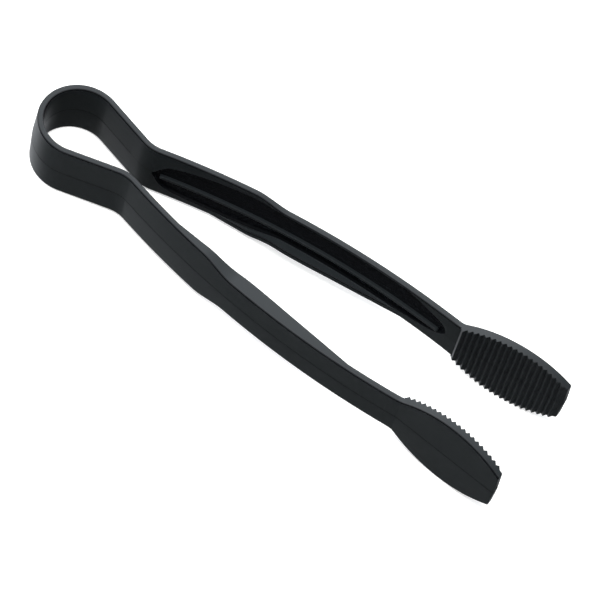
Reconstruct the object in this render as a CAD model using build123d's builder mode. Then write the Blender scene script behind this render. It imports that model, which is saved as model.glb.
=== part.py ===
from build123d import *
import math
import os

# One-piece spring tongs, injection moulded in one black plastic.
# X runs along the tool, from the spring bow to the jaws. Y runs across it, and the left arm is
# on +Y. Z = 0 is the mould's parting plane. While the tool is drawn, X is measured from the
# crown of the bow; every finished node is then moved so that the origin is the tool's middle.
# The one moulding is cut into nodes where it bends and where its function changes.
# A half turn about X takes each left node to its right one.

# ---------------------------------------------------------------- driving dimensions, mm
LENGTH = 231.0            # crown of the bow to the jaw tips
DRAFT = 2.2               # degrees, on both sides of the parting plane
WALL = 3.55               # strip thickness at the parting plane

BOW_HALF_HEIGHT = 13.1    # half the strip's height at the bow and the thumb rests
ARM_HALF_HEIGHT = 9.8     # half its height between the step and the jaws
STEP_START = 91.0         # X where the edge starts to drop
STEP_END = 100.5          # X where it has dropped
STEP_ROUND = 16.0         # radius of both bends of the step

BOW_RADIUS = 17.35        # outside radius of the teardrop's round end
NECK_X = 45.7             # where the bow's straight flank would meet the arm
NECK_ROUND = 12.0         # outside radius of the neck bend
ARM_BOW_RADIUS = 380.0    # the arms are bowed outwards on this radius
ARM_APEX = (150.5, 24.5)  # widest point of the arm's outer face

JAW_ROOT_X = 183.6        # where the arm becomes a jaw
JAW_MID = (207.5, 25.0)   # outer face of the jaw, half way
JAW_TIP_Y = 26.9          # outer face of the jaw at the tip
JAW_THICKNESS = 3.2       # jaw plate behind the tooth pad, at the parting plane
JAW_HALF_HEIGHT = 17.45   # widest half height of the leaf shaped jaw
JAW_LEAF_RADIUS = 37.6    # radius of the leaf's long edges
JAW_LEAF_X = 207.3        # where the leaf is widest

TOOTH_COUNT = 20
TOOTH_PITCH = 2.28
TOOTH_HEIGHT = 0.95
TOOTH_PAD = 0.3           # solid layer under the teeth
TOOTH_PAD_START = 183.85  # X of the pad's first edge

FLANGE_THICKNESS = 2.6    # the one deep flange of each arm
FLANGE_INNER_EDGE = ((72.0, 13.4), (93.0, 15.1), (106.0, 15.1), (130.0, 17.8), (161.5, 21.6))
FLANGE_ROOT = 1.2         # how far inside the wall the flange is drawn before it is trimmed

POCKET_WALL = 2.0         # wall left behind the pocket, at the parting plane
POCKET_TIPS = ((48.0, -0.8), (178.5, 0.3))
POCKET_UPPER = (
    (56.0, 6.6), (74.0, 9.6), (90.0, 10.0), (102.0, 8.8), (126.0, 8.9), (152.0, 8.8), (162.0, 7.6),
    (171.0, 5.2),
)
POCKET_LOWER = (
    (170.0, -4.0), (152.0, -6.9), (126.0, -7.0), (102.0, -7.0), (88.0, -9.4), (74.0, -9.6), (56.0, -8.4),
)

RIB_THICKNESS = 1.4       # stiffening rib along the pocket
RIB_OFFSET = 2.0          # its distance from the parting plane, towards the flange
RIB_X = (51.0, 175.0)     # where it starts and ends

CROWN_HALF_ANGLE = 18.0   # half of the part of the bow that stays put
BOW_CUT_STEP = 24.0       # degrees between the cuts round the bow
BOW_CUT_COUNT = 4         # cuts on each side of the crown, round the bow
FLANK_CUTS_X = (28.0, 38.0)  # cuts across the straight flank
NECK_CUT_X = 46.5         # end of the neck

TALL = 30.0               # taller than every section
WIDE = 80.0               # wider than the tool


def arm_outer_y(x):
    """Y of the arm's outer face, on its long arc, at a distance x from the crown."""
    drop = ARM_BOW_RADIUS - math.sqrt(ARM_BOW_RADIUS**2 - (x - ARM_APEX[0]) ** 2)
    return ARM_APEX[1] - drop


def in_from(point, depth):
    """The point that lies a depth further in, towards the middle of the tool."""
    return (point[0], point[1] - depth)


neck = (NECK_X, arm_outer_y(NECK_X))
neck_distance = math.hypot(neck[0] - BOW_RADIUS, neck[1])
neck_bearing = math.atan2(neck[1], neck[0] - BOW_RADIUS)
tangent_angle = math.degrees(neck_bearing + math.acos(BOW_RADIUS / neck_distance))
jaw_root = (JAW_ROOT_X, arm_outer_y(JAW_ROOT_X))
jaw_tip = (LENGTH, JAW_TIP_Y)
jaw_slope = math.atan2(jaw_tip[1] - jaw_root[1], jaw_tip[0] - jaw_root[0])


# ---------------------------------------------------------------- shared shapes
def tongs_outline(inset):
    """Filled plan of the bow and both arms, its outer edge moved inwards by inset."""
    with BuildSketch() as outline:
        with BuildLine():
            crown_arc = CenterArc((BOW_RADIUS, 0), BOW_RADIUS, 180, tangent_angle - 180)
            Line(crown_arc @ 1, neck)
            ThreePointArc(neck, ARM_APEX, jaw_root)
            mirror(about=Plane.XZ)
            Line(jaw_root, (jaw_root[0], -jaw_root[1]))
        make_face()
        neck_corners = outline.vertices().filter_by(lambda v: abs(v.X - NECK_X) < 0.01)
        fillet(neck_corners, NECK_ROUND)
        if inset > 0:
            offset(amount=-inset, kind=Kind.INTERSECTION)
    return outline.sketch


def side_profile(inset):
    """Side view of the tool from the crown to the tips, its edges moved inwards by inset."""
    edge_points = [
        (0, BOW_HALF_HEIGHT),
        (STEP_START, BOW_HALF_HEIGHT),
        (STEP_END, ARM_HALF_HEIGHT),
        (JAW_ROOT_X, ARM_HALF_HEIGHT),
    ]
    with BuildSketch(Plane.XZ) as profile:
        with BuildLine():
            top = FilletPolyline(*edge_points, radius=STEP_ROUND)
            leaf_end = JAW_HALF_HEIGHT - JAW_LEAF_RADIUS
            leaf_end += math.sqrt(JAW_LEAF_RADIUS**2 - (LENGTH - JAW_LEAF_X) ** 2)
            ThreePointArc(top @ 1, (JAW_LEAF_X, JAW_HALF_HEIGHT), (LENGTH, leaf_end))
            mirror(about=Plane.XZ)
            Line((0, -BOW_HALF_HEIGHT), (0, BOW_HALF_HEIGHT))
            Line((LENGTH, -leaf_end), (LENGTH, leaf_end))
        make_face()
        if inset > 0:
            offset(amount=-inset, kind=Kind.INTERSECTION)
    return profile.sketch


def flank_plane(x):
    """Cutting plane square to the left flank of the bow, through its outer face at x."""
    slope = math.radians(tangent_angle - 90)
    y = neck[1] + (neck[0] - x) * math.tan(-slope)
    return Plane(origin=(x, y, 0), z_dir=(math.cos(slope), math.sin(slope), 0))


def bow_plane(angle):
    """Cutting plane through the bow's axis, at an angle from the crown towards the left arm."""
    turn = math.radians(angle)
    return Plane(origin=(BOW_RADIUS, 0, 0), z_dir=(math.sin(turn), math.cos(turn), 0))


def x_plane(x):
    """Cutting plane square to the tool's length."""
    return Plane(origin=(x, 0, 0), z_dir=(1, 0, 0))


def save(piece, name):
    """Move a finished node so that the origin is the tool's middle, and write it."""
    node = piece.moved(Location((-LENGTH / 2, 0, 0)))
    node.label = name
    export_step(node, f"parts/{name}.step")


def save_pair(piece, name):
    """Write a left node, and the same node after a half turn about X as the right one."""
    save(piece, f"{name}_left")
    save(piece.rotate(Axis.X, 180), f"{name}_right")


def along_jaw(x, depth):
    """The point on the jaw's flat inner face at x, a depth further in."""
    y = jaw_root[1] - JAW_THICKNESS + (x - jaw_root[0]) * math.tan(jaw_slope)
    return (x, y - depth)


def tooth_outline():
    """Plan of the pad and its row of teeth, from the jaw's root to its tip and back."""
    points = [along_jaw(TOOTH_PAD_START, TOOTH_PAD)]
    for i in range(TOOTH_COUNT):
        start = TOOTH_PAD_START + TOOTH_PITCH * i
        points.append(along_jaw(start + TOOTH_PITCH / 2, TOOTH_PAD + TOOTH_HEIGHT))
        points.append(along_jaw(start + TOOTH_PITCH, TOOTH_PAD))
    pad_end = TOOTH_PAD_START + TOOTH_PITCH * TOOTH_COUNT
    return points + [along_jaw(pad_end, 0), along_jaw(TOOTH_PAD_START, 0)]


jaw_face = Plane(
    origin=(*along_jaw(jaw_root[0], 0), 0),
    z_dir=(-math.sin(jaw_slope), math.cos(jaw_slope), 0),
)
os.makedirs("parts", exist_ok=True)

# ---------------------------------------------------------------- the moulding before its cuts
with BuildPart() as side_block:
    extrude(side_profile(0), amount=WIDE / 2, both=True)

with BuildPart() as strip:
    with BuildSketch():
        add(tongs_outline(0))
        add(tongs_outline(WALL), mode=Mode.SUBTRACT)
        with Locations((JAW_ROOT_X - WALL - 1, 0)):
            Rectangle(
                WIDE, 2 * jaw_root[1] - 2 * WALL, align=(Align.MIN, Align.CENTER), mode=Mode.SUBTRACT
            )
    extrude(amount=BOW_HALF_HEIGHT, taper=DRAFT)
    mirror(about=Plane.XY)
    add(side_block.part, mode=Mode.INTERSECT)

with BuildPart() as left_half:
    add(strip.part)
    split(bisect_by=Plane.XZ, keep=Keep.BOTTOM)

# ---------------------------------------------------------------- spring bow
with BuildPart() as crown:
    add(strip.part)
    split(bisect_by=bow_plane(CROWN_HALF_ANGLE), keep=Keep.BOTTOM)
    split(bisect_by=bow_plane(-CROWN_HALF_ANGLE), keep=Keep.TOP)
save(crown.part, "bow_crown")

bow_cuts = [bow_plane(CROWN_HALF_ANGLE + BOW_CUT_STEP * i) for i in range(BOW_CUT_COUNT)]
bow_cuts += [flank_plane(x) for x in FLANK_CUTS_X]
bow_cuts.append(x_plane(NECK_CUT_X))
bow_names = [f"bow_segment_{i + 1}" for i in range(len(bow_cuts) - 2)] + ["neck"]
for name, start, end in zip(bow_names, bow_cuts, bow_cuts[1:]):
    with BuildPart() as segment:
        add(left_half.part)
        split(bisect_by=start, keep=Keep.TOP)
        split(bisect_by=end, keep=Keep.BOTTOM)
    save_pair(segment.part, name)

# ---------------------------------------------------------------- arm, its pocket and its rib
with BuildPart() as pocket:
    with BuildSketch(Plane.XZ) as leaf:
        with BuildLine():
            Spline(POCKET_TIPS[0], *POCKET_UPPER, POCKET_TIPS[1])
            Spline(POCKET_TIPS[1], *POCKET_LOWER, POCKET_TIPS[0])
        make_face()
    extrude(leaf.sketch, amount=WIDE / 2, both=True)
    extrude(tongs_outline(POCKET_WALL), amount=TALL, both=True, mode=Mode.INTERSECT)

with BuildPart() as arm:
    add(left_half.part)
    split(bisect_by=x_plane(NECK_CUT_X), keep=Keep.TOP)
    add(pocket.part, mode=Mode.SUBTRACT)
save_pair(arm.part, "arm")

with BuildPart() as rib:
    with BuildSketch(Plane.XZ) as rib_side:
        with Locations(((RIB_X[0] + RIB_X[1]) / 2, -RIB_OFFSET)):
            SlotOverall(RIB_X[1] - RIB_X[0], RIB_THICKNESS)
    extrude(rib_side.sketch, amount=-WIDE / 2)
    extrude(tongs_outline(POCKET_WALL), amount=TALL, both=True, mode=Mode.INTERSECT)
    extrude(tongs_outline(WALL), amount=TALL, both=True, mode=Mode.SUBTRACT)
    add(arm.part, mode=Mode.SUBTRACT)
save_pair(rib.part, "rib")

# ---------------------------------------------------------------- the arm's one deep flange
with BuildPart() as flange:
    with BuildSketch() as crescent:
        with BuildLine():
            edge = Spline(*FLANGE_INNER_EDGE)
            beyond = [(FLANGE_INNER_EDGE[-1][0], WIDE), (FLANGE_INNER_EDGE[0][0], WIDE)]
            Polyline(edge @ 1, *beyond, edge @ 0)
        make_face()
    extrude(crescent.sketch, amount=TALL, both=True)
    extrude(tongs_outline(FLANGE_ROOT), amount=TALL, both=True, mode=Mode.INTERSECT)
    add(side_block.part, mode=Mode.INTERSECT)
    extrude(side_profile(FLANGE_THICKNESS), amount=WIDE / 2, both=True, mode=Mode.SUBTRACT)
    split(bisect_by=Plane.XY, keep=Keep.BOTTOM)
    add(arm.part, mode=Mode.SUBTRACT)
save_pair(flange.part, "flange")

# ---------------------------------------------------------------- jaw and its teeth
with BuildPart() as jaw:
    with BuildSketch() as jaw_plan:
        with BuildLine():
            outer = ThreePointArc(jaw_root, JAW_MID, jaw_tip)
            Polyline(
                outer @ 1,
                in_from(jaw_tip, 2 * JAW_THICKNESS),
                in_from(jaw_root, 2 * JAW_THICKNESS),
                (jaw_root[0] - JAW_THICKNESS, jaw_root[1] - 2 * JAW_THICKNESS),
                (jaw_root[0] - JAW_THICKNESS, jaw_root[1]),
                outer @ 0,
            )
        make_face()
    extrude(jaw_plan.sketch, amount=JAW_HALF_HEIGHT, taper=DRAFT)
    mirror(about=Plane.XY)
    split(bisect_by=x_plane(JAW_ROOT_X), keep=Keep.TOP)
    split(bisect_by=jaw_face, keep=Keep.TOP)
    add(side_block.part, mode=Mode.INTERSECT)
save_pair(jaw.part, "jaw")

with BuildPart() as teeth:
    with BuildSketch() as teeth_plan:
        with BuildLine():
            Polyline(*tooth_outline(), close=True)
        make_face()
    extrude(teeth_plan.sketch, amount=TALL, both=True)
    add(side_block.part, mode=Mode.INTERSECT)
save_pair(teeth.part, "jaw_teeth")
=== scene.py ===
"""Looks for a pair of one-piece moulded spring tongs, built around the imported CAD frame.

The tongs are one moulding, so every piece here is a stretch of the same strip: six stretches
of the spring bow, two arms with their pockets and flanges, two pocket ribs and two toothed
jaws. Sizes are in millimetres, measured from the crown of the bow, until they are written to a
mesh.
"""

import logging
import math
from dataclasses import dataclass, field
from enum import Enum
from typing import Callable, Sequence

import bmesh
import bpy
from mathutils import Matrix, Vector

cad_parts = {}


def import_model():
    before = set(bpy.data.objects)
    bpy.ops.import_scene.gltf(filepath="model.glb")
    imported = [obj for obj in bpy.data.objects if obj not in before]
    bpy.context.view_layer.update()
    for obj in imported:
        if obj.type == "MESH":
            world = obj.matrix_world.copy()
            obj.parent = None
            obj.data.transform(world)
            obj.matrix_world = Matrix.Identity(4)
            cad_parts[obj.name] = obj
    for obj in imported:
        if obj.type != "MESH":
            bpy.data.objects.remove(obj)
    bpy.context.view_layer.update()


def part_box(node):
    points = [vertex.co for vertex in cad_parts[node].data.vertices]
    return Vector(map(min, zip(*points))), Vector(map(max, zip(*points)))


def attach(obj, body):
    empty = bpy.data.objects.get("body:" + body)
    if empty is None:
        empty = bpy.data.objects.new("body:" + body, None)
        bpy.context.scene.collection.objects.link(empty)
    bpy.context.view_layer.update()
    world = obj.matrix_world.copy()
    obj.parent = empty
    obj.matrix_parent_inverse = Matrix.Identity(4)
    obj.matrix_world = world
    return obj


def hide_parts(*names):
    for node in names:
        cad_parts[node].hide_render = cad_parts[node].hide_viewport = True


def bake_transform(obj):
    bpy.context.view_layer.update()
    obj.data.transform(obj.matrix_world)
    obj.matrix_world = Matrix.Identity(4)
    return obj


LOG = logging.getLogger("tongs")
MM = 0.001
WELD_DISTANCE = 2e-6
CRISP_ANGLE = math.radians(38)
Point = tuple[float, float]


class Side(Enum):
    """The two arms. The right one is the left one after a half turn about the length."""

    LEFT = 1
    RIGHT = -1

    @property
    def word(self) -> str:
        """The side's name as the frame spells it."""
        return self.name.lower()


class Finish(Enum):
    """The two surfaces the mould leaves on the plastic; the polished one is also painted darker, as
    shade.
    """

    SATIN = 0
    POLISHED = 1


# ------------------------------------------------------------------------------ plan and profile


@dataclass(frozen=True)
class ArcRun:
    """A round stretch of the outer line, seen from above."""

    centre: Point
    radius: float
    start: float
    sweep: float

    @property
    def length(self) -> float:
        """Length of the stretch."""
        return abs(self.sweep) * self.radius

    def at(self, distance: float) -> tuple[Point, Point]:
        """Find a place on the stretch.

        Args:
            distance: how far along the stretch, from its start.

        Returns:
            The point, and the unit direction of travel there.
        """
        angle = self.start + self.sweep * distance / self.length
        turn = math.copysign(1.0, self.sweep)
        point = (
            self.centre[0] + self.radius * math.cos(angle),
            self.centre[1] + self.radius * math.sin(angle),
        )
        return point, (-turn * math.sin(angle), turn * math.cos(angle))


@dataclass(frozen=True)
class StraightRun:
    """A straight stretch of the outer line, seen from above."""

    start: Point
    end: Point

    @property
    def length(self) -> float:
        """Length of the stretch."""
        return math.dist(self.start, self.end)

    def at(self, distance: float) -> tuple[Point, Point]:
        """Find a place on the stretch.

        Args:
            distance: how far along the stretch, from its start.

        Returns:
            The point, and the unit direction of travel there.
        """
        direction = tuple((b - a) / self.length for a, b in zip(self.start, self.end))
        point = tuple(a + d * distance for a, d in zip(self.start, direction))
        return point, direction


def smooth_through(points: Sequence[Point], x: float) -> float:
    """Read a smooth curve that passes through a few points.

    Args:
        points: the curve's points, in order of their first number.
        x: where to read it; outside the points, the end value holds.

    Returns:
        The curve's second number at x.
    """
    if x <= points[0][0]:
        return points[0][1]
    if x >= points[-1][0]:
        return points[-1][1]
    i = max(k for k in range(len(points) - 1) if points[k][0] <= x)
    (x0, y0), (x1, y1) = points[i], points[i + 1]
    before = points[max(i - 1, 0)]
    after = points[min(i + 2, len(points) - 1)]
    span = x1 - x0
    slope0 = (y1 - before[1]) / (x1 - before[0]) * span
    slope1 = (after[1] - y0) / (after[0] - x0) * span
    u = (x - x0) / span
    return (
        y0 * (2 * u**3 - 3 * u**2 + 1)
        + slope0 * (u**3 - 2 * u**2 + u)
        + y1 * (3 * u**2 - 2 * u**3)
        + slope1 * (u**3 - u**2)
    )


@dataclass
class TongsShape:
    """The moulding's driving sizes in millimetres, and its outer line and heights."""

    length: float = 231.0
    draft: float = math.tan(math.radians(2.2))
    wall: float = 3.55
    bow_half_height: float = 13.1
    arm_half_height: float = 9.8
    step: Point = (91.0, 100.5)
    step_ease: float = 3.0
    bow_radius: float = 17.35
    neck_x: float = 45.7
    neck_round: float = 12.0
    arm_radius: float = 380.0
    arm_apex: Point = (150.5, 24.5)
    jaw_root_x: float = 183.6
    jaw_mid: Point = (207.5, 25.0)
    jaw_tip_y: float = 26.9
    jaw_plate: float = 3.5
    leaf_peak: Point = (207.3, 17.45)
    root_reach: float = 9.0
    root_ease: float = 0.86
    runs: list[ArcRun | StraightRun] = field(init=False)

    def __post_init__(self) -> None:
        """Work out the outer line of the left side, from the crown to the jaw's root."""
        bow_centre = (self.bow_radius, 0.0)
        arm_centre = (self.arm_apex[0], self.arm_apex[1] - self.arm_radius)
        neck = (self.neck_x, self.arm_y(self.neck_x))
        reach = math.dist(neck, bow_centre)
        bearing = math.atan2(neck[1], neck[0] - self.bow_radius)
        tangent = bearing + math.acos(self.bow_radius / reach)
        slope = tangent - math.pi / 2
        leave = (
            bow_centre[0] + self.bow_radius * math.cos(tangent),
            self.bow_radius * math.sin(tangent),
        )
        outward = (-math.sin(slope), math.cos(slope))
        centre = self._neck_centre(leave, slope, outward, arm_centre)
        foot = (centre[0] - self.neck_round * outward[0], centre[1] - self.neck_round * outward[1])
        start = math.atan2(foot[1] - centre[1], foot[0] - centre[0])
        to_arm = math.atan2(arm_centre[1] - centre[1], arm_centre[0] - centre[0])
        arm_start = to_arm + math.pi
        root = (self.jaw_root_x, self.arm_y(self.jaw_root_x))
        arm_end = math.atan2(root[1] - arm_centre[1], root[0] - arm_centre[0])
        self.runs = [
            ArcRun(bow_centre, self.bow_radius, math.pi, tangent - math.pi),
            StraightRun(leave, foot),
            ArcRun(centre, self.neck_round, start, to_arm - start),
            ArcRun(arm_centre, self.arm_radius, arm_start, arm_end - arm_start),
        ]

    def _neck_centre(self, leave: Point, slope: float, outward: Point, arm_centre: Point) -> Point:
        """Find the centre of the bend between the bow's flank and the arm.

        Args:
            leave: where the flank leaves the bow's round.
            slope: the flank's angle.
            outward: the unit direction square to the flank, away from the tool.
            arm_centre: the centre of the arm's long arc.

        Returns:
            The centre, which lies outside the moulding.
        """
        base = (leave[0] + self.neck_round * outward[0], leave[1] + self.neck_round * outward[1])
        along = (math.cos(slope), math.sin(slope))
        gap = (base[0] - arm_centre[0], base[1] - arm_centre[1])
        half = gap[0] * along[0] + gap[1] * along[1]
        rest = gap[0] ** 2 + gap[1] ** 2 - (self.arm_radius + self.neck_round) ** 2
        distance = -half - math.sqrt(half**2 - rest)
        return (base[0] + distance * along[0], base[1] + distance * along[1])

    def arm_y(self, x: float) -> float:
        """Height above the middle of the long arc of the arm, at x."""
        reach = math.sqrt(self.arm_radius**2 - (x - self.arm_apex[0]) ** 2)
        return self.arm_apex[1] - self.arm_radius + reach

    @property
    def line_length(self) -> float:
        """Length of the outer line from the crown to the jaw's root."""
        return sum(run.length for run in self.runs)

    def outer(self, distance: float) -> tuple[Point, Point]:
        """Find a place on the left side's outer line.

        Args:
            distance: along the line from the crown; a negative one is on the right side.

        Returns:
            The point, and the unit direction that leads into the wall.
        """
        left = abs(distance)
        for run in self.runs:
            if left <= run.length or run is self.runs[-1]:
                point, travel = run.at(left)
                break
            left -= run.length
        inward = (travel[1], -travel[0])
        sign = 1 if distance >= 0 else -1
        return (point[0], sign * point[1]), (inward[0], sign * inward[1])

    def distance_to_x(self, x: float) -> float:
        """How far along the outer line a given x lies, past the bow's round."""
        low, high = self.runs[0].length * 0.9, self.line_length
        halvings = 40
        for _ in range(halvings):
            middle = (low + high) / 2
            low, high = (middle, high) if self.outer(middle)[0][0] < x else (low, middle)
        return (low + high) / 2

    def half_height(self, x: float) -> float:
        """Half the moulding's height at x."""
        start, end = self.step
        run = end - start + 2 * self.step_ease
        ease = min(max((x - start + self.step_ease) / run, 0), 1)
        ease = ease * ease * (3 - 2 * ease)
        straight = self.bow_half_height + (self.arm_half_height - self.bow_half_height) * ease
        reach = self.leaf_peak[0] - self.jaw_root_x
        rise = self.leaf_peak[1] - self.arm_half_height
        radius = (reach**2 + rise**2) / (2 * rise)
        if x < self.jaw_root_x - self.root_reach:
            return straight
        over = rise - radius + math.sqrt(radius**2 - (x - self.leaf_peak[0]) ** 2)
        return straight + (over + math.hypot(over, self.root_ease)) / 2

    def jaw_outer_y(self, x: float) -> float:
        """Y of the jaw's outer face at x, on the arc through its root, middle and tip."""
        root = (self.jaw_root_x, self.arm_y(self.jaw_root_x))
        tip = (self.length, self.jaw_tip_y)
        u, mid = (x - root[0]) / (tip[0] - root[0]), (self.jaw_mid[0] - root[0]) / (tip[0] - root[0])
        chord = root[1] + u * (tip[1] - root[1])
        rise = self.jaw_mid[1] - root[1] - mid * (tip[1] - root[1])
        return chord + rise * u * (1 - u) / (mid * (1 - mid))

    def jaw_inner_y(self, x: float) -> float:
        """Y of the flat face that the jaw's teeth stand on."""
        root = (self.jaw_root_x, self.arm_y(self.jaw_root_x))
        slope = (self.jaw_tip_y - root[1]) / (self.length - root[0])
        return root[1] - self.jaw_plate + slope * (x - root[0])


# ------------------------------------------------------------------------------ mesh work


@dataclass
class Corner:
    """A rounded corner of a section, as a short fan of points."""

    at: Point
    before: Point
    after: Point
    radius: float
    steps: int = 3

    def points(self) -> list[Point]:
        """The corner's points, from the edge before it to the edge after it."""
        reach = min(self.radius, math.dist(self.at, self.before) / 2, math.dist(self.at, self.after) / 2)
        ends = []
        for other in (self.before, self.after):
            gap = max(math.dist(self.at, other), 1e-9)
            ends.append(tuple(a + (b - a) * reach / gap for a, b in zip(self.at, other)))
        fan = []
        for i in range(self.steps + 1):
            u = i / self.steps
            weights = ((1 - u) ** 2, 2 * u * (1 - u), u * u)
            parts = (ends[0], self.at, ends[1])
            fan.append(tuple(sum(w * p[k] for w, p in zip(weights, parts)) for k in range(2)))
        return fan


@dataclass
class Section:
    """One closed section of the strip: points of depth from the outer face and of height."""

    points: list[Point] = field(default_factory=list)
    finishes: list[Finish] = field(default_factory=list)

    def run(self, points: Sequence[Point], finish: Finish = Finish.SATIN) -> "Section":
        """Add points, whose edges onwards have this finish, and return the section."""
        self.points += list(points)
        self.finishes += [finish] * len(points)
        return self

    def rounded(self, fan: Sequence[Point]) -> "Section":
        """Add a rounded corner, polished and painted darker on its round, satin after it; return the
        section.
        """
        return self.run(fan[:-1], Finish.POLISHED).run(fan[-1:])


class StripMesh:
    """Skins a row of equal-length sections and caps both ends."""

    def __init__(self, name: str, side: Side) -> None:
        """Start an empty skin.

        Args:
            name: the piece's name.
            side: the arm it is on; the right one is turned half round.
        """
        self.name = name
        self.side = side
        self.rings: list[list[Vector]] = []
        self.finishes: list[list[Finish]] = []

    def place(self, x: float, y: float, z: float) -> Vector:
        """Turn a place in millimetres from the crown into the frame's metres."""
        shape_middle = SHAPE.length / 2
        sign = self.side.value
        return Vector(((x - shape_middle) * MM, sign * y * MM, sign * z * MM))

    def add(self, section: Section, put: Callable[[float, float], tuple[float, float, float]]) -> None:
        """Add a ring.

        Args:
            section: the section's points.
            put: takes a depth and a height to x, y and z.
        """
        self.rings.append([self.place(*put(*point)) for point in section.points])
        self.finishes.append(section.finishes)

    def build(self, materials: Sequence[bpy.types.Material]) -> bpy.types.Object:
        """Make the mesh object.

        Args:
            materials: one for each finish, in the order of Finish.

        Returns:
            The linked object, shaded smooth with crisp corners.
        """
        work = bmesh.new()
        rings = [[work.verts.new(p) for p in ring] for ring in self.rings]
        count = len(rings[0])
        for ring, following, finishes in zip(rings, rings[1:], self.finishes):
            for k in range(count):
                n = (k + 1) % count
                face = work.faces.new((ring[k], ring[n], following[n], following[k]))
                face.material_index = finishes[k].value
        for ring in (rings[0], rings[-1]):
            cap = work.faces.new(ring)
            bmesh.ops.triangulate(work, faces=[cap])
        bmesh.ops.remove_doubles(work, verts=work.verts, dist=WELD_DISTANCE)
        bmesh.ops.dissolve_degenerate(work, edges=work.edges, dist=WELD_DISTANCE)
        bmesh.ops.recalc_face_normals(work, faces=work.faces)
        mesh = bpy.data.meshes.new(self.name)
        work.to_mesh(mesh)
        work.free()
        for material in materials:
            mesh.materials.append(material)
        mesh.shade_smooth()
        mesh.set_sharp_from_angle(angle=CRISP_ANGLE)
        piece = bpy.data.objects.new(self.name, mesh)
        bpy.context.scene.collection.objects.link(piece)
        weighted = piece.modifiers.new("even_shading", "WEIGHTED_NORMAL")
        weighted.keep_sharp = True
        return piece


SHAPE = TongsShape()


# ------------------------------------------------------------------------------ the moulding


@dataclass
class StripFaces:
    """How the plain strip's outer and inner faces and rounded edges run."""

    edge_round: float = 0.55
    line_half_width: float = 0.2
    line_depth: float = 0.1

    def outer_upper(self, section: Section, half_height: float, back: float = 0.0) -> Section:
        """Add the outer face from the parting line to the top face.

        Args:
            section: the section to add to.
            half_height: half the strip's height here.
            back: how far the whole face stands back from the outer line.

        Returns:
            The section.
        """
        h, t = half_height, SHAPE.draft
        face = [(self.line_depth, 0.0), (0.0, self.line_half_width), (t * h / 2, h / 2)]
        section.run([(back + depth, z) for depth, z in face])
        return section.rounded(self.edge((back + t * h, h), (back, 0), (SHAPE.wall, h)))

    def outer_lower(self, section: Section, half_height: float, back: float = 0.0) -> Section:
        """Add the outer face from the bottom face to the parting line, and return the section."""
        h, t = half_height, SHAPE.draft
        section.rounded(self.edge((back + t * h, -h), (SHAPE.wall, -h), (back, 0)))
        return section.run([(back + t * h / 2, -h / 2), (back, -self.line_half_width)])

    def edge(self, at: Point, before: Point, after: Point) -> list[Point]:
        """The fan of a rounded edge."""
        return Corner(at, before, after, self.edge_round).points()


FACES = StripFaces()


def plain_section(half_height: float) -> Section:
    """Section of the plain strip, with the parting line on both faces.

    Args:
        half_height: half the strip's height here.

    Returns:
        The closed section.
    """
    t, h, wall = SHAPE.draft, half_height, SHAPE.wall
    inner = wall - t * h
    section = FACES.outer_upper(Section(), h)
    section.rounded(FACES.edge((inner, h), (t * h, h), (wall, 0)))
    section.run([
        (wall - t * h / 2, h / 2),
        (wall, FACES.line_half_width),
        (wall - FACES.line_depth, 0.0),
        (wall, -FACES.line_half_width),
        (wall - t * h / 2, -h / 2),
    ])
    section.rounded(FACES.edge((inner, -h), (wall, 0), (t * h, -h)))
    return FACES.outer_lower(section, h)


@dataclass
class SpringBow:
    """The teardrop bow, as stretches that each stand in for one or two of the frame's bow segments."""

    stretch_angles: tuple[float, ...] = (0.0, 42.0, 90.0)
    arm_start: float = 38.5
    ring_spacing: float = 0.55
    stretch_nodes: tuple[tuple[str, ...], ...] = (
        ("bow_segment_1",),
        ("bow_segment_2", "bow_segment_3"),
        ("bow_segment_4", "bow_segment_5"),
    )

    def build(self, side: Side, materials: Sequence[bpy.types.Material]) -> list[bpy.types.Object]:
        """Build one side's stretches.

        Args:
            side: which side of the crown.
            materials: one for each finish.

        Returns:
            The pieces, from the crown to the neck.
        """
        ends = [SHAPE.bow_radius * math.radians(angle) for angle in self.stretch_angles]
        ends.append(SHAPE.distance_to_x(self.arm_start))
        pieces = []
        for i, (start, end) in enumerate(zip(ends, ends[1:])):
            skin = StripMesh(f"bow_stretch_{i + 1}_{side.word}", side)
            rings = round((end - start) / self.ring_spacing)
            for k in range(rings + 1):
                point, inward = SHAPE.outer(start + (end - start) * k / rings)
                skin.add(plain_section(SHAPE.bow_half_height), self.put_on(point, inward))
            piece = skin.build(materials)
            self.middle(side, start)
            self.middle(side, end)
            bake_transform(piece)
            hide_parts(*[f"{node}_{side.word}" for node in self.stretch_nodes[i]])
            pieces.append(piece)
        if side is Side.LEFT:
            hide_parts("bow_crown", f"bow_segment_1_{side.word}")
        return pieces

    @staticmethod
    def put_on(point: Point, inward: Point) -> Callable[[float, float], tuple[float, float, float]]:
        """Make the function that lays a section across the strip at a point."""
        return lambda depth, z: (point[0] + depth * inward[0], point[1] + depth * inward[1], z)

    @staticmethod
    def middle(side: Side, distance: float) -> Vector:
        """A point in the frame, in the middle of the strip at a distance from the crown."""
        point, inward = SHAPE.outer(distance)
        half = SHAPE.wall / 2
        return StripMesh("", side).place(point[0] + half * inward[0], point[1] + half * inward[1], 0)


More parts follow.
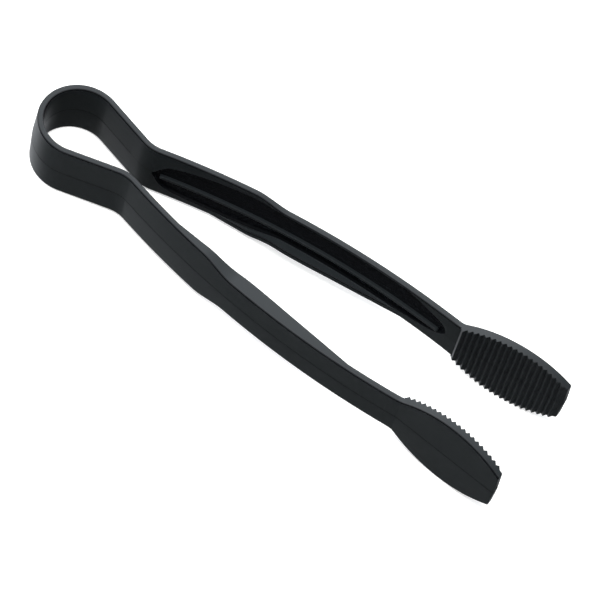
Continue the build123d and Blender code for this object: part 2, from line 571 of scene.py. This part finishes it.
@dataclass
class Arm:
    """An arm: thumb rest, step, leaf-shaped pocket and the one deep flange."""

    start_x: float = 38.5
    ring_spacing: float = 0.8
    flange_thickness: float = 2.6
    flange_edge: tuple[Point, ...] = (
        (72.0, 13.4), (93.0, 15.1), (106.0, 15.1), (130.0, 17.8), (161.5, 21.6),
    )
    pocket_wall: float = 2.0
    pocket_upper: tuple[Point, ...] = (
        (48.0, -0.8), (52.0, 4.4), (56.0, 6.4), (66.5, 8.5), (79.0, 9.9), (90.0, 10.4),
        (101.0, 9.2), (126.0, 9.3), (154.0, 9.3), (161.5, 8.5), (168.5, 6.6), (175.0, 4.8),
        (177.6, 2.9), (178.5, 0.9),
    )
    pocket_lower: tuple[Point, ...] = (
        (48.0, -0.8), (50.6, -5.6), (53.0, -7.4), (56.5, -8.8), (66.0, -9.7), (80.0, -9.8),
        (91.0, -8.9), (102.0, -7.0), (126.0, -7.0), (150.0, -6.9), (158.0, -6.1), (171.0, -4.0),
        (176.0, -1.8), (178.5, 0.9),
    )
    lip_round: float = 0.35
    floor_round: float = 0.25
    ledge_round: float = 0.4
    square_run: float = 8.0
    tip_steps: tuple[float, ...] = (-0.05, 0.02, 0.15, 0.35, 0.7, 1.2)

    def stations(self) -> list[float]:
        """Distances along the outer line of the arm's rings, closer at the pocket's tips."""
        start, end = SHAPE.distance_to_x(self.start_x), SHAPE.line_length
        count = round((end - start) / self.ring_spacing)
        places = [start + (end - start) * k / count for k in range(count + 1)]
        for tip, inside in ((self.pocket_upper[0][0], 1), (self.pocket_upper[-1][0], -1)):
            places += [SHAPE.distance_to_x(tip + inside * step) for step in self.tip_steps]
        return sorted(places)

    def flange_depth(self, x: float, y: float, wall_depth: float) -> float:
        """How deep the flange reaches from the outer face at x."""
        if not self.flange_edge[0][0] < x < self.flange_edge[-1][0]:
            return wall_depth
        return max(wall_depth, y - smooth_through(self.flange_edge, x))

    def section(self, x: float, y: float) -> Section:
        """Section of the arm.

        Args:
            x: where the section meets the outer face.
            y: the outer face's distance from the middle plane there.

        Returns:
            The closed section.
        """
        t, wall, h = SHAPE.draft, SHAPE.wall, SHAPE.half_height(x)
        edge = wall - t * h
        upper, lower = smooth_through(self.pocket_upper, x), smooth_through(self.pocket_lower, x)
        open_pocket = self.pocket_upper[0][0] < x < self.pocket_upper[-1][0] and upper - lower > 0.05
        floor = self.pocket_wall if open_pocket else wall
        upper, lower = (upper, lower) if open_pocket else (0.0, 0.0)
        ledge = -h + self.flange_thickness
        reach = self.flange_depth(x, y, edge)

        def face(z: float) -> float:
            """Depth of the inner face at a height."""
            return wall - t * abs(z)

        def pocket_side(z: float, beyond: float) -> list[Point]:
            """Points of one side of the pocket, from the inner face to its floor."""
            lip = Corner((face(z), z), (face(beyond), beyond), (floor, z), self.lip_round, 2)
            foot = Corner((floor, z), (face(z), z), (floor, (upper + lower) / 2), self.floor_round, 2)
            return lip.points() + foot.points()

        section = FACES.outer_upper(Section(), h)
        section.rounded(FACES.edge((edge, h), (t * h, h), (wall, 0)))
        # The pocket's sides take the polished material, whose darker colour is painted shade.
        section.run(pocket_side(upper, min(upper + 1, h)), Finish.POLISHED)
        rising = pocket_side(lower, max(lower - 1, -h))[::-1]
        section.run(rising[:-1], Finish.POLISHED).run(rising[-1:])
        above = (face(ledge + 1), ledge + 1)
        section.run(Corner((face(ledge), ledge), above, (reach, ledge), self.ledge_round).points())
        section.rounded(FACES.edge((reach, ledge), (face(ledge), ledge), (reach, -h)))
        section.rounded(FACES.edge((reach, -h), (reach, ledge), (t * h, -h)))
        return FACES.outer_lower(section, h)

    def build(self, side: Side, materials: Sequence[bpy.types.Material]) -> bpy.types.Object:
        """Build the arm and let it ride on its body.

        Args:
            side: which arm.
            materials: one for each finish.

        Returns:
            The piece.
        """
        skin = StripMesh(f"arm_with_flange_{side.word}", side)
        for distance in self.stations():
            point, inward = SHAPE.outer(distance)
            squareness = max(0.0, 1 - (SHAPE.jaw_root_x - point[0]) / self.square_run)
            lean = (inward[0] * (1 - squareness), inward[1])
            skin.add(self.section(*point), SpringBow.put_on(point, lean))
        piece = skin.build(materials)
        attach(piece, f"{side.word}_arm")
        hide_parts(*[f"{node}_{side.word}" for node in ("neck", "arm", "flange")])
        return piece


@dataclass
class PocketRib:
    """The thin stiffening rib along the floor of the pocket."""

    span: Point = (51.0, 175.0)
    thickness: float = 1.4
    below_line: float = 2.0
    floor: float = 2.0
    crest: float = 3.5
    round: float = 0.3
    sunk: float = 0.3
    nose_steps: int = 5
    least_half: float = 0.05
    ring_spacing: float = 1.0

    def section(self, half: float) -> Section:
        """Section of the rib at a half thickness."""
        upper, lower = -self.below_line + half, -self.below_line - half
        root = self.floor - self.sunk
        box = [(root, upper), (self.crest, upper), (self.crest, lower), (root, lower)]
        top = Corner(box[1], box[0], box[2], self.round).points()
        bottom = Corner(box[2], box[1], box[3], self.round).points()
        return Section().run([box[0], *top, *bottom, box[3]])

    def build(self, side: Side, materials: Sequence[bpy.types.Material]) -> bpy.types.Object:
        """Build the rib and let it ride on its arm's body.

        Args:
            side: which arm.
            materials: one for each finish.

        Returns:
            The piece.
        """
        skin = StripMesh(f"pocket_rib_{side.word}", side)
        start, end = (SHAPE.distance_to_x(x) for x in self.span)
        half = self.thickness / 2
        count = round((end - start) / self.ring_spacing)
        places = [start + (end - start) * k / count for k in range(count + 1)]
        turns = [math.pi / 2 * k / self.nose_steps for k in range(self.nose_steps + 1)]
        nose = [half * (1 - math.cos(turn)) for turn in turns]
        places = sorted({*places[1:-1], *[start + n for n in nose], *[end - n for n in nose]})
        for distance in places:
            gap = min(distance - start, end - distance, half)
            width = max(math.sqrt(half**2 - (half - gap) ** 2), self.least_half)
            point, inward = SHAPE.outer(distance)
            skin.add(self.section(width), SpringBow.put_on(point, inward))
        piece = skin.build(materials)
        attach(piece, f"{side.word}_arm")
        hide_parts(f"rib_{side.word}")
        return piece


@dataclass
class ToothedJaw:
    """A flat leaf-shaped jaw with a row of cross teeth on its inner face."""

    tooth_count: int = 20
    pitch: float = 2.28
    tooth_height: float = 0.95
    first_edge: float = 183.85
    crest_flat: float = 0.22
    root_flat: float = 0.18
    column_rows: int = 12
    tooth_round: float = 0.18
    end_round: float = 0.45
    end_steps: int = 4
    pull_power: int = 6

    def tooth_depth(self, x: float) -> float:
        """Height of the toothed surface above the jaw's flat at x."""
        place = (x - self.first_edge) / self.pitch
        if not 0 < place < self.tooth_count:
            return 0.0
        phase = abs(place % 1 - 0.5) * self.pitch
        run = self.pitch / 2 - self.crest_flat / 2 - self.root_flat / 2
        return self.tooth_height * min(max((self.pitch / 2 - self.root_flat / 2 - phase) / run, 0), 1)

    def stations(self) -> list[float]:
        """X of the jaw's rings: each tooth's foot, flanks and crest, and the rounded tip."""
        places = [SHAPE.jaw_root_x]
        for i in range(self.tooth_count):
            middle = self.first_edge + self.pitch * (i + 0.5)
            foot, crest = (self.pitch - self.root_flat) / 2, self.crest_flat / 2
            places += [middle - foot, middle - crest, middle, middle + crest, middle + foot]
        last = SHAPE.length - self.end_round
        places += [(places[-1] + last) / 2]
        turns = [math.pi / 2 * k / self.end_steps for k in range(self.end_steps + 1)]
        return places + [last + self.end_round * math.sin(turn) for turn in turns]

    def section(self, x: float) -> Section:
        """Section of the jaw, its depths measured from the outer face.

        Args:
            x: where along the tool.

        Returns:
            The closed section.
        """
        t, h = SHAPE.draft, SHAPE.half_height(x)
        plate = SHAPE.jaw_outer_y(x) - SHAPE.jaw_inner_y(x)
        inner = plate + self.tooth_depth(x)
        past = max(x - (SHAPE.length - self.end_round), 0) / self.end_round
        shrink = self.end_round * (1 - math.sqrt(max(1 - past * past, 0)))
        h -= shrink
        inner -= shrink
        edge = Corner((inner, h), (t * h, h), (inner, 0), self.tooth_round, 2).points()
        rows = [(inner, h * (1 - 2 * k / self.column_rows)) for k in range(1, self.column_rows)]
        section = FACES.outer_upper(Section(), h, shrink)
        section.run([*edge, *rows])
        section.run([(depth, -z) for depth, z in reversed(edge)])
        return FACES.outer_lower(section, h, shrink)

    def build(self, side: Side, materials: Sequence[bpy.types.Material]) -> bpy.types.Object:
        """Build the jaw and let it ride on its arm's body.

        Args:
            side: which arm.
            materials: one for each finish.

        Returns:
            The piece.
        """
        skin = StripMesh(f"jaw_with_teeth_{side.word}", side)
        for x in self.stations():
            outer = SHAPE.jaw_outer_y(x)
            ramp = (x - SHAPE.jaw_root_x) / (SHAPE.length - SHAPE.jaw_root_x)
            pull = max(ramp, 0) ** self.pull_power * SHAPE.draft
            skin.add(self.section(x), lambda depth, z: (x - pull * abs(z), outer - depth, z))
        piece = skin.build(materials)
        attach(piece, f"{side.word}_arm")
        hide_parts(f"jaw_{side.word}", f"jaw_teeth_{side.word}")
        return piece


# ------------------------------------------------------------------------------ materials


def linear(colour: str) -> tuple[float, float, float, float]:
    """Turn an sRGB hex colour such as #1a1c1e into the linear one that shaders take."""
    channels = [int(colour[i : i + 2], 16) / 255 for i in (1, 3, 5)]
    curve = [c / 12.92 if c <= 0.04045 else ((c + 0.055) / 1.055) ** 2.4 for c in channels]
    return (*curve, 1.0)


def add_node(
    tree: bpy.types.NodeTree,
    kind: str,
    settings: dict[str | int, object],
    links: dict[str | int, bpy.types.NodeSocket],
) -> bpy.types.Node:
    """Add one node to a material or to the room.

    Args:
        tree: the node tree.
        kind: the node's type name.
        settings: its properties, and its unlinked inputs by name or number.
        links: the sockets that feed its inputs, by input name or number.

    Returns:
        The new node.
    """
    node = tree.nodes.new(kind)
    for name, value in settings.items():
        if isinstance(name, str) and hasattr(node, name):
            setattr(node, name, value)
        else:
            node.inputs[name].default_value = value
    for name, socket in links.items():
        tree.links.new(socket, node.inputs[name])
    return node


@dataclass(frozen=True)
class MouldedPolycarbonate:
    """Black polycarbonate as it leaves the mould, with the mould's own surface on it."""

    name: str
    colour: str
    haze_colour: str
    roughness: float
    roughness_swing: float
    grain_mm: float
    grain_height_mm: float
    # The parting line's groove is painted near-black, as shade.
    groove_shade_colour: str = "#060708"
    flow_mm: float = 16.0
    groove_shade_half_width_mm: float = 0.4
    ior: float = 1.585
    specular: float = 0.5

    def build(self) -> bpy.types.Material:
        """Make the material.

        Returns:
            A material with flow haze, a fine grain and the witness of the parting line.
        """
        material = bpy.data.materials.new(self.name)
        material.use_nodes = True
        tree = material.node_tree
        tree.nodes.clear()
        place = add_node(tree, "ShaderNodeTexCoord", {}, {}).outputs["Object"]
        # Flow haze: soft clouds where the melt met the steel a little hotter or cooler.
        flow = add_node(
            tree, "ShaderNodeTexNoise",
            {"Scale": 1 / (self.flow_mm * MM), "Detail": 4.0, "Roughness": 0.55}, {"Vector": place},
        ).outputs["Fac"]
        # A blasted mould's grain is too fine to show, so it is drawn coarser. A polished mould
        # leaves only a broad, low swell.
        grain = add_node(
            tree, "ShaderNodeTexNoise",
            {"Scale": 1 / (self.grain_mm * MM), "Detail": 2.0, "Roughness": 0.6}, {"Vector": place},
        ).outputs["Fac"]
        height = add_node(tree, "ShaderNodeSeparateXYZ", {}, {0: place}).outputs["Z"]
        away = add_node(tree, "ShaderNodeMath", {"operation": "ABSOLUTE"}, {0: height}).outputs[0]
        line = add_node(
            tree, "ShaderNodeMapRange",
            {"From Min": 0.0, "From Max": self.groove_shade_half_width_mm * MM, "To Min": 1.0, "To Max": 0.0},
            {"Value": away},
        ).outputs["Result"]
        # The parting line's painted shade comes and goes along the tool, as the two mould halves meet
        # unevenly.
        patchy = add_node(
            tree, "ShaderNodeMapRange",
            {"From Min": 0.35, "From Max": 0.6, "To Min": 0.6, "To Max": 1.0}, {"Value": flow},
        ).outputs["Result"]
        groove_shade = add_node(
            tree, "ShaderNodeMath", {"operation": "MULTIPLY"}, {0: line, 1: patchy},
        ).outputs[0]
        haze = add_node(
            tree, "ShaderNodeMix",
            {"data_type": "RGBA", 6: linear(self.colour), 7: linear(self.haze_colour)}, {0: flow},
        ).outputs[2]
        # Painted shade: the band along the parting line is mixed towards near-black, for the shade in
        # its groove.
        shade = add_node(
            tree, "ShaderNodeMix",
            {"data_type": "RGBA", 7: linear(self.groove_shade_colour)}, {0: groove_shade, 6: haze},
        ).outputs[2]
        low, high = self.roughness - self.roughness_swing, self.roughness + self.roughness_swing
        gloss = add_node(
            tree, "ShaderNodeMapRange",
            {"From Min": 0.3, "From Max": 0.7, "To Min": low, "To Max": high}, {"Value": flow},
        ).outputs["Result"]
        bump = add_node(
            tree, "ShaderNodeBump",
            {"Strength": 1.0, "Distance": self.grain_height_mm * MM}, {"Height": grain},
        ).outputs["Normal"]
        shader = add_node(
            tree, "ShaderNodeBsdfPrincipled",
            {"IOR": self.ior, "Specular IOR Level": self.specular},
            {"Base Color": shade, "Roughness": gloss, "Normal": bump},
        )
        add_node(tree, "ShaderNodeOutputMaterial", {}, {"Surface": shader.outputs["BSDF"]})
        return material


# The outside, the inner faces, the ribs and the teeth: blasted steel leaves an even, soft sheen.
SATIN = MouldedPolycarbonate(
    "black_polycarbonate_satin_moulded", "#1d2123", "#24282a",
    roughness=0.38, roughness_swing=0.04, grain_mm=0.32, grain_height_mm=0.004,
)
# The pockets and the rounded edges: hand-polished steel leaves them glossy; their colour is painted
# darker, as shade.
POLISHED = MouldedPolycarbonate(
    "black_polycarbonate_polished_moulded", "#0a0b0d", "#0f1114",
    roughness=0.14, roughness_swing=0.03, grain_mm=5.0, grain_height_mm=0.012,
)


@dataclass(frozen=True)
class PaleFloor:
    """A plain pale painted floor."""

    colour: str = "#f4f4f3"
    cloud_colour: str = "#f7f7f6"
    cloud_scale: float = 3.0
    roughness: float = 0.75
    glow: float = 0.45

    def build(self) -> bpy.types.Material:
        """Make the floor's material."""
        material = bpy.data.materials.new("pale_matte_paint")
        material.use_nodes = True
        tree = material.node_tree
        tree.nodes.clear()
        place = add_node(tree, "ShaderNodeTexCoord", {}, {}).outputs["Object"]
        cloud = add_node(
            tree, "ShaderNodeTexNoise", {"Scale": self.cloud_scale, "Detail": 2.0}, {"Vector": place},
        ).outputs["Fac"]
        tone = add_node(
            tree, "ShaderNodeMix",
            {"data_type": "RGBA", 6: linear(self.colour), 7: linear(self.cloud_colour)}, {0: cloud},
        ).outputs[2]
        shader = add_node(
            tree, "ShaderNodeBsdfPrincipled",
            {"Roughness": self.roughness, "Emission Strength": self.glow},
            {"Base Color": tone, "Emission Color": tone},
        )
        add_node(tree, "ShaderNodeOutputMaterial", {}, {"Surface": shader.outputs["BSDF"]})
        return material


# ------------------------------------------------------------------------------ the studio


@dataclass
class Studio:
    """The floor, the soft lights and the camera. Lengths here are in metres."""

    azimuth: float = 18.68
    elevation: float = 56.99
    roll: float = 18.2
    distance: float = 1.6585
    aim: tuple[float, float, float] = (0.0101, -0.0017, -0.0033)
    lens: float = 259.0
    floor_size: float = 6.0
    floor_gap: float = 0.0002
    far_clip: float = 20.0
    cloth_towards: tuple[float, float, float] = (-0.10, 0.36, 0.93)
    cloth_edges: Point = (0.45, 0.85)
    cloth_glow: float = 0.7
    sweep_towards: tuple[float, float, float] = (-0.64, 0.77, -0.2)
    sweep_edges: Point = (0.04, 0.72)
    sweep_glow: float = 1.0
    card_glow: float = 0.02
    room_colour: str = "#f6faff"

    def camera(self) -> None:
        """Set the camera at the long, high view across the tool."""
        az, el, roll = (math.radians(a) for a in (self.azimuth, self.elevation, self.roll))
        towards = Vector((math.sin(az) * math.cos(el), -math.cos(az) * math.cos(el), math.sin(el)))
        level = Vector((math.cos(az), math.sin(az), 0))
        upright = towards.cross(level)
        right = level * math.cos(roll) + upright * math.sin(roll)
        up = upright * math.cos(roll) - level * math.sin(roll)
        data = bpy.data.cameras.new("studio_camera")
        data.lens = self.lens
        data.clip_end = self.far_clip
        camera = bpy.data.objects.new("studio_camera", data)
        basis = Matrix((right, up, towards)).transposed().to_4x4()
        camera.matrix_world = Matrix.Translation(Vector(self.aim) + towards * self.distance) @ basis
        bpy.context.scene.collection.objects.link(camera)
        bpy.context.scene.camera = camera

    def floor(self) -> None:
        """Lay the floor under the crown and the jaws, which reach a little lower."""
        crown_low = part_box("bow_crown")[0]
        jaw_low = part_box("jaw_left")[0]
        jaw_x = (SHAPE.leaf_peak[0] - SHAPE.length / 2) * MM
        slope = math.atan2(crown_low[2] - jaw_low[2], jaw_x - crown_low[0])
        work = bmesh.new()
        bmesh.ops.create_grid(work, x_segments=2, y_segments=2, size=self.floor_size / 2)
        mesh = bpy.data.meshes.new("pale_floor")
        work.to_mesh(mesh)
        work.free()
        mesh.materials.append(PaleFloor().build())
        ground = bpy.data.objects.new("pale_floor", mesh)
        ground.rotation_euler = (0, slope, 0)
        ground.location = (crown_low[0], 0, crown_low[2] - self.floor_gap)
        # In gloss the room's pale sweep and dark cards stand in the floor's place.
        ground.visible_glossy = False
        bpy.context.scene.collection.objects.link(ground)

    def room(self) -> None:
        """Set the room: a white cloth overhead, a pale sweep low behind, dark cards elsewhere."""
        world = bpy.data.worlds.new("studio_room")
        bpy.context.scene.world = world
        world.use_nodes = True
        tree = world.node_tree
        towards = add_node(tree, "ShaderNodeTexCoord", {}, {}).outputs["Generated"]
        cloth = self.patch(tree, towards, self.cloth_towards, self.cloth_edges, self.cloth_glow)
        sweep = self.patch(tree, towards, self.sweep_towards, self.sweep_edges, self.sweep_glow)
        glow = add_node(tree, "ShaderNodeMath", {"operation": "ADD"}, {0: cloth, 1: sweep}).outputs[0]
        total = add_node(
            tree, "ShaderNodeMath", {"operation": "ADD", 1: self.card_glow}, {0: glow},
        ).outputs[0]
        tree.links.new(total, tree.nodes["Background"].inputs["Strength"])
        tree.nodes["Background"].inputs["Color"].default_value = linear(self.room_colour)

    @staticmethod
    def patch(
        tree: bpy.types.NodeTree, towards: bpy.types.NodeSocket, centre: tuple[float, float, float],
        edges: Point, strength: float,
    ) -> bpy.types.NodeSocket:
        """Add one soft-edged bright patch of the room.

        Args:
            tree: the world's node tree.
            towards: the direction being looked along.
            centre: the patch's own direction, whose length scales its reach.
            edges: the agreement with that direction at which it starts and is full.
            strength: its full glow.

        Returns:
            The patch's glow.
        """
        facing = add_node(
            tree, "ShaderNodeVectorMath", {"operation": "DOT_PRODUCT", 1: centre}, {0: towards},
        ).outputs["Value"]
        return add_node(
            tree, "ShaderNodeMapRange",
            {
                "interpolation_type": "SMOOTHSTEP",
                "From Min": edges[0], "From Max": edges[1], "To Min": 0.0, "To Max": strength,
            },
            {"Value": facing},
        ).outputs["Result"]

    def lights(self) -> None:
        """Hang the soft boxes, which light the matt part of a surface and stay out of its gloss."""
        boxes = (
            ("crown_softbox", (-1.3, -0.7, 0.7), 0.9, 12.0),
            ("front_softbox", (0.7, -1.0, 0.9), 0.8, 4.0),
            ("high_softbox", (0.0, -0.3, 2.0), 1.0, 40.0),
        )
        for name, place, size, power in boxes:
            data = bpy.data.lights.new(name, "AREA")
            data.size = size
            data.energy = power
            lamp = bpy.data.objects.new(name, data)
            lamp.location = place
            lamp.visible_glossy = False
            lamp.rotation_euler = (-Vector(place)).to_track_quat("-Z", "Y").to_euler()
            bpy.context.scene.collection.objects.link(lamp)


def main() -> None:
    """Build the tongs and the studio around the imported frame."""
    logging.basicConfig(level=logging.INFO, format="%(name)s: %(message)s")
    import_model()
    bpy.context.scene.view_settings.view_transform = "Standard"
    studio = Studio()
    studio.camera()
    studio.floor()
    studio.room()
    studio.lights()
    materials = [SATIN.build(), POLISHED.build()]
    for side in Side:
        for piece in SpringBow().build(side, materials):
            LOG.info("%s: %d faces", piece.name, len(piece.data.polygons))
        for maker in (Arm(), PocketRib(), ToothedJaw()):
            piece = maker.build(side, materials)
            LOG.info("%s: %d faces", piece.name, len(piece.data.polygons))


if __name__ == "__main__":
    main()
